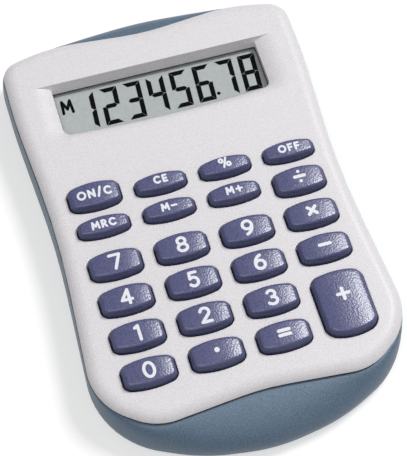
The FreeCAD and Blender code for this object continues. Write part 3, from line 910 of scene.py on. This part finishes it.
def pill(key):
    name, x, y = key[:3]
    surface = Surface()
    size = shortened(key, pill_size, 0.5)
    top_z = dome_top_z - dome_roof - pill_gap
    foot, top = surface.stack([oblong(x, y, size, z) for z in (top_z - pill_thickness, top_z)])
    surface.flat(foot)
    surface.flat(top)
    piece = surface.make(name + "_pill", carbon)
    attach(piece, name + "_cap")
    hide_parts("contact_pills")


# Characters, drawn as the strokes of a round pen

sharp_turn = math.radians(40)
arc_step = 20  # degrees
pen_end_steps = 8
pen_step = 0.6
pen_fill = 0.97  # share of the pen's radius within which the sheet is kept
pen_merge = 1e-5


def arc(x, y, reach_x, reach_y, start=0, end=360):
    steps = max(4, round(abs(end - start) / arc_step))
    points = []
    for step in range(steps + 1):
        angle = math.radians(start + (end - start) * step / steps)
        points.append((x + reach_x * math.cos(angle), y + reach_y * math.sin(angle)))
    return points


# Strokes in a box one high; the first number is the box's width
glyphs = {
    "0": (0.68, [arc(0.34, 0.5, 0.34, 0.5)]),
    "1": (0.22, [[(0.0, 0.86), (0.22, 1.0), (0.22, 0.0)]]),
    "2": (0.64, [arc(0.31, 0.71, 0.3, 0.29, 165, -40) + [(0.0, 0.0), (0.64, 0.0)]]),
    "3": (0.62, [arc(0.29, 0.755, 0.27, 0.245, 150, -90), arc(0.29, 0.26, 0.32, 0.26, 90, -150)]),
    "4": (0.7, [[(0.5, 0.0), (0.5, 1.0), (0.0, 0.28), (0.7, 0.28)]]),
    "5": (0.6, [[(0.54, 1.0), (0.1, 1.0), (0.06, 0.56)] + arc(0.27, 0.32, 0.31, 0.32, 115, -145)]),
    "6": (0.64, [arc(0.32, 0.31, 0.32, 0.31), arc(0.62, 0.36, 0.62, 0.66, 180, 105)]),
    "7": (0.7, [[(0.0, 1.0), (0.7, 1.0), (0.26, 0.0)]]),
    "8": (0.64, [arc(0.32, 0.755, 0.27, 0.245), arc(0.32, 0.26, 0.32, 0.26)]),
    "9": (0.64, [arc(0.32, 0.69, 0.32, 0.31), arc(0.02, 0.64, 0.62, 0.66, 0, -75)]),
    "O": (0.95, [arc(0.475, 0.5, 0.475, 0.5)]),
    "N": (0.72, [[(0.0, 0.0), (0.0, 1.0), (0.72, 0.0), (0.72, 1.0)]]),
    "/": (0.42, [[(0.0, -0.12), (0.42, 1.2)]]),
    "C": (0.78, [arc(0.46, 0.5, 0.46, 0.5, 48, 312)]),
    "E": (0.5, [[(0.5, 1.0), (0.0, 1.0), (0.0, 0.0), (0.5, 0.0)], [(0.0, 0.5), (0.44, 0.5)]]),
    "F": (0.5, [[(0.5, 1.0), (0.0, 1.0), (0.0, 0.0)], [(0.0, 0.5), (0.44, 0.5)]]),
    "M": (0.92, [[(0.0, 0.0), (0.08, 1.0), (0.46, 0.3), (0.84, 1.0), (0.92, 0.0)]]),
    "R": (0.58, [[(0.0, 0.0), (0.0, 1.0)] + arc(0.26, 0.74, 0.26, 0.26, 90, -90) + [(0.0, 0.48)],
                 [(0.24, 0.48), (0.58, 0.0)]]),
    "-": (0.7, [[(0.0, 0.48), (0.7, 0.48)]]),
    "+": (0.8, [[(0.0, 0.48), (0.8, 0.48)], [(0.4, 0.08), (0.4, 0.88)]]),
    "%": (1.3, [arc(0.22, 0.79, 0.22, 0.24), arc(1.08, 0.2, 0.22, 0.24),
                [(0.42, -0.12), (0.9, 1.12)]]),
}


def written(text, height, pen_width, gap, middle_x, middle_y):
    """Strokes of a word of a full height, centred on a place."""
    scale = height - pen_width
    length = sum(glyphs[letter][0] * scale for letter in text) + (len(text) - 1) * (gap + pen_width)
    left = middle_x - length / 2
    strokes = []
    for letter in text:
        width, shapes = glyphs[letter]
        for shape in shapes:
            strokes.append([(left + x * scale, middle_y + (y - 0.5) * scale) for x, y in shape])
        left += width * scale + gap + pen_width
    return strokes


def refined(points, longest):
    """Stroke with extra points, so that no step is longer than a limit."""
    made = [points[0]]
    corners = [Vector(point) for point in points]
    for start, end in zip(corners, corners[1:]):
        steps = max(1, math.ceil((end - start).length / longest))
        made += [tuple(start.lerp(end, step / steps)) for step in range(1, steps)] + [tuple(end)]
    return made


def smooth_runs(points):
    """Parts of a stroke between its sharp corners, and whether the stroke closes on itself."""
    if (Vector(points[0]) - Vector(points[-1])).length < tiny:
        return [(points[:-1], True)]
    runs = []
    run = [points[0]]
    for before, here, after in zip(points, points[1:], points[2:]):
        run.append(here)
        turn = (Vector(here) - Vector(before)).angle(Vector(after) - Vector(here))
        if turn > sharp_turn:
            runs.append((run, False))
            run = [here]
    run.append(points[-1])
    return runs + [(run, False)]


def pen_rings(points, closed, radius):
    """Outlines of what a round pen covers along a smooth run."""
    points = [Vector(point) for point in points]
    count = len(points)
    left = []
    right = []
    for index, point in enumerate(points):
        before = points[index - 1] if closed or index else point
        after = points[(index + 1) % count] if closed or index < count - 1 else point
        along = (after - before).normalized()
        aside = Vector((-along.y, along.x)) * radius
        left.append(point + aside)
        right.append(point - aside)
    if closed:
        return [left, right]
    ends = []
    for point, side in ((points[-1], right[-1]), (points[0], left[0])):
        spoke = side - point
        ends.append([point + Matrix.Rotation(math.pi * step / pen_end_steps, 2) @ spoke
                     for step in range(1, pen_end_steps)])
    return [right + ends[0] + left[::-1] + ends[1]]


def pen_reach(point, start, end):
    """How far a point is from the middle of a short straight stroke."""
    along = end - start
    share = max(0.0, min(1.0, (point - start).dot(along) / along.length_squared))
    return (point - start - along * share).length


def pen_marks(strokes, pen_width, height_at, thickness):
    """Thin sheet wherever the pen has been, laid on a surface."""
    radius = pen_width / 2
    flat = []
    edges = []
    strokes = [refined(points, pen_step) for points in strokes]
    for points in strokes:
        for run, closed in smooth_runs(points):
            for ring in pen_rings(run, closed, radius):
                numbers = list(range(len(flat), len(flat) + len(ring)))
                edges += zip(numbers, numbers[1:] + numbers[:1])
                flat += ring
    lines = [(Vector(start), Vector(end)) for points in strokes for start, end in zip(points, points[1:])]
    made = delaunay_2d_cdt(flat, edges, [], 0, pen_merge)
    surface = Surface()
    spots = [(point.x, point.y, height_at(point.x, point.y)) for point in made[0]]
    low = surface.ring([place(x, y, z - thickness) for x, y, z in spots])
    high = surface.ring([place(x, y, z + thickness) for x, y, z in spots])
    shared = {}
    for triangle in made[2]:
        middle = sum((made[0][corner] for corner in triangle), Vector((0.0, 0.0))) / 3
        reach = min(pen_reach(middle, start, end) for start, end in lines)
        if reach > pen_fill * radius:
            continue
        surface.faces.append(tuple(high[corner] for corner in triangle))
        for corner, after in zip(triangle, triangle[1:] + triangle[:1]):
            edge = frozenset((corner, after))
            shared[edge] = None if edge in shared else (corner, after)
    for edge in shared.values():
        if edge:
            surface.faces.append((high[edge[1]], high[edge[0]], low[edge[0]], low[edge[1]]))
    return surface


digit_print = (4.05, 0.72)
small_print = (2.1, 0.52)
wide_print = (2.3, 0.54)
percent_print = (2.4, 0.5)
letter_gap = 0.32

# Words on the keys: text, (height, pen width), rise over the key's middle
words = {
    "key_memory_recall": ("MRC", small_print, -0.05), "key_memory_minus": ("M-", small_print, 0.15),
    "key_memory_plus": ("M+", small_print, 0.2), "key_on_clear": ("ON/C", wide_print, 0.0),
    "key_clear_entry": ("CE", small_print, 0.25), "key_percent": ("%", percent_print, 0.4),
    "key_off": ("OFF", small_print, 0.1),
}

# Signs on the keys: strokes as (x, y) from the key's middle
sign_pen = 0.8
point_pen = 1.2
signs = {
    "key_plus": [[(-1.3, 1.55), (1.3, 1.55)], [(0.0, 0.25), (0.0, 2.85)]],
    "key_minus": [[(-1.25, 0.2), (1.25, 0.2)]],
    "key_times": [[(-0.92, -0.75), (0.92, 1.0)], [(-0.92, 1.0), (0.92, -0.75)]],
    "key_divide": [[(-1.15, 0.3), (1.15, 0.3)], [(0.0, 1.55), (0.0, 1.57)], [(0.0, -0.97), (0.0, -0.95)]],
    "key_equals": [[(-1.2, 0.75), (1.2, 0.75)], [(-1.2, -0.35), (1.2, -0.35)]],
    "key_point": [[(0.0, 0.35), (0.0, 0.37)]],
}


def legend(key):
    name, x, y = key[:3]
    pen_width = sign_pen
    if name in signs:
        strokes = [[(x + across, y + along) for across, along in stroke] for stroke in signs[name]]
        if name == "key_point":
            pen_width = point_pen
    elif name in words:
        text, (height, pen_width), rise = words[name]
        strokes = written(text, height, pen_width, letter_gap, x, y + rise)
    else:
        height, pen_width = digit_print
        strokes = written(name[-1], height, pen_width, letter_gap, x, y)
    surface = pen_marks(strokes, pen_width, lambda px, py: crown_z(key, px, py), print_thickness)
    piece = surface.make(name + "_legend", legend_ink)
    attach(piece, name + "_cap")


# Display

digit_pitch = 5.774
digit_height = 10.1
digit_width = 4.25
digit_lean = 0.07
stroke = 1.16
segment_gap = 0.055
digits_right_x = 24.37
digits_mid_y = 69.65
digit_z = 7.74
point_place = (13.3, 66.0)
point_radius = 0.45
memory_mark = (-22.65, 72.1)
memory_size = (2.35, 3.3)
memory_pen = 0.7
memory_thickness = 0.005

lit = {"1": "bc", "2": "abged", "3": "abgcd", "4": "fgbc", "5": "afgcd", "6": "afgedc", "7": "abc",
       "8": "abcdefg"}


def segment(letter):
    """Outline of one segment inside a digit cell, from its lower left corner."""
    w = digit_width
    h = digit_height
    t = stroke
    g = segment_gap
    mid = h / 2
    if letter == "a":
        return [(g, h), (w - g, h), (w - t, h - t), (t, h - t)]
    if letter == "d":
        return [(g, 0), (w - g, 0), (w - t, t), (t, t)]
    if letter == "g":
        return [(g + t / 2, mid), (t, mid + t / 2), (w - t, mid + t / 2), (w - g - t / 2, mid),
                (w - t, mid - t / 2), (t, mid - t / 2)]
    if letter in "fb":
        shape = [(0, mid + g), (t / 2, mid + g), (t, mid + t / 2 + g), (t, h - t - g), (0, h - g)]
    else:
        shape = [(0, g), (t, t + g), (t, mid - t / 2 - g), (t / 2, mid - g), (0, mid - g)]
    if letter in "bc":
        shape = [(w - px, py) for px, py in shape]
    return shape


def display_digits():
    """Digits 1 to 8 and the decimal point."""
    surface = Surface()
    foot_y = digits_mid_y - digit_height / 2
    for index, digit in enumerate("12345678"):
        left_x = digits_right_x - digit_width - (7 - index) * digit_pitch
        for letter in lit[digit]:
            ring = []
            for px, py in segment(letter):
                ring.append(place(left_x + px + digit_lean * (py - digit_height / 2), foot_y + py, digit_z))
            surface.faces.append(tuple(surface.ring(ring)))
    dot = []
    for angle in range(0, 360, 30):
        turn = math.radians(angle)
        dot.append(place(point_place[0] + point_radius * math.cos(turn),
                         point_place[1] + point_radius * math.sin(turn), digit_z))
    surface.faces.append(tuple(surface.ring(dot)))
    piece = surface.make("display_digits", segment_ink)
    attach(piece, "housing")


def display_memory_mark():
    middle_x, middle_y = memory_mark
    width, height = memory_size
    letter_width, shapes = glyphs["M"]
    strokes = []
    for shape in shapes:
        strokes.append([(middle_x + (x / letter_width - 0.5) * width, middle_y + (y - 0.5) * height)
                        for x, y in shape])
    surface = pen_marks(strokes, memory_pen, lambda x, y: digit_z, memory_thickness)
    piece = surface.make("memory_mark", segment_ink)
    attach(piece, "housing")


# Screws

def screw_heads():
    """Rounded heads with a cross recess, in the wells of the rear shell."""
    surface = Surface()
    arm = [(cross_half_length, -cross_half_width), (cross_half_length, cross_half_width),
           (cross_half_width, cross_half_width)]
    for x, y in screw_places:
        rings = [circle(x, y, head_radius, head_top_z)]
        rings += [circle(x, y, head_radius * share, head_foot_z + lift) for share, lift in head_rounding]
        back, front = surface.stack(rings)
        cross = []
        for quarter in range(4):
            turn = quarter * math.pi / 2
            for across, along in arm:
                cross.append((across * math.cos(turn) - along * math.sin(turn),
                              across * math.sin(turn) + along * math.cos(turn)))
        mouth = surface.ring([place(x + px, y + py, head_foot_z) for px, py in cross])
        bed = surface.ring([place(x + px * cross_taper, y + py * cross_taper, head_foot_z + cross_depth)
                            for px, py in cross])
        surface.bridge(mouth, bed)
        surface.flat(bed)
        surface.flat(front, [mouth])
        surface.flat(back)
    piece = surface.make("screw_heads", screw_steel)
    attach(piece, "housing")
    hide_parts("case_screws")


def finish_nodes():
    """Materials of the pieces that stay as they are."""
    finishes = {
        "key_contacts": carbon, "circuit_board": laminate, "chip_cover": resin_black,
        "capacitor": steel, "resistor": resin_black,
        "battery_cell": steel, "battery_spring": brass, "battery_clip": brass,
        "display_window": clear_pane, "front_polariser": display_grey, "front_glass": display_grey,
        "rear_glass": display_grey, "rear_reflector": film_silver, "display_cushion": foam_grey,
        "display_ribbon": amber_film,
    }
    for name, material in finishes.items():
        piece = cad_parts[name]
        piece.data.materials.clear()
        piece.data.materials.append(material)


# Surroundings

white = (1.0, 1.0, 1.0, 1.0)
floor_half = 1.5  # in metres, like the lamps' places and sizes
floor_drop = 0.00002
floor_grey = (0.55, 0.55, 0.55, 1.0)
floor_glow = 0.52  # lifts the open floor to white where it is seen
sky_strength = 0.26


def floor():
    mesh = bpy.data.meshes.new("floor")
    corners = [(-floor_half, -floor_half, 0), (floor_half, -floor_half, 0),
               (floor_half, floor_half, 0), (-floor_half, floor_half, 0)]
    mesh.from_pydata(corners, [], [(0, 1, 2, 3)])
    nodes = Nodes("floor")
    nodes.set(Base_Color=floor_grey, Roughness=0.9, Emission_Color=white)
    ray = nodes.node("ShaderNodeLightPath")
    seen = ray.outputs["Is Camera Ray"]
    for other in ("Is Glossy Ray", "Is Transmission Ray"):
        seen = combined(nodes, "MAXIMUM", seen, ray.outputs[other])
    glow = combined(nodes, "MULTIPLY", seen, floor_glow)
    nodes.link(glow, nodes.shader.inputs["Emission Strength"])
    mesh.materials.append(nodes.material)
    piece = bpy.data.objects.new("floor", mesh)
    bpy.context.collection.objects.link(piece)
    piece.location.z = -floor_drop


def lamp(name, where, size, power):
    """Square lamp that points at the middle of the object."""
    data = bpy.data.lights.new(name, "AREA")
    data.shape = "SQUARE"
    data.size = size
    data.energy = power
    light = bpy.data.objects.new(name, data)
    light.location = where
    light.rotation_mode = "QUATERNION"
    light.rotation_quaternion = (-Vector(where)).to_track_quat("-Z", "Y")
    bpy.context.collection.objects.link(light)


def surroundings():
    world = bpy.data.worlds.new("studio")
    bpy.context.scene.world = world
    world.use_nodes = True
    background = world.node_tree.nodes["Background"]
    background.inputs["Color"].default_value = white
    background.inputs["Strength"].default_value = sky_strength
    floor()
    lamp("key_light", where=(0.68, 0.32, 1.06), size=0.38, power=10.6)
    lamp("fill_light", where=(-0.22, -0.22, 0.68), size=0.5, power=1.35)


def camera():
    data = bpy.data.cameras.new("camera")
    data.sensor_width = sensor
    data.lens = focal_pixels * sensor / max(photo_width, photo_height)
    data.clip_start = 0.01
    piece = bpy.data.objects.new("camera", data)
    bpy.context.collection.objects.link(piece)
    axes = (Vector(camera_right), -Vector(camera_down), -Vector(camera_ahead))
    turned = Matrix(axes).transposed().to_4x4()
    turned.translation = place(camera_x, camera_y, camera_z)
    piece.matrix_world = turned
    bpy.context.scene.camera = piece


def main():
    keys = key_list()
    finish_nodes()
    cover_face(keys)
    window_shade_band()
    shell_body()
    mat_sheet(keys)
    for key in keys:
        keycap(key)
        dome(key)
        pill(key)
        legend(key)
    display_digits()
    display_memory_mark()
    screw_heads()
    surroundings()
    camera()
    bpy.context.scene.view_settings.view_transform = "Standard"


main()
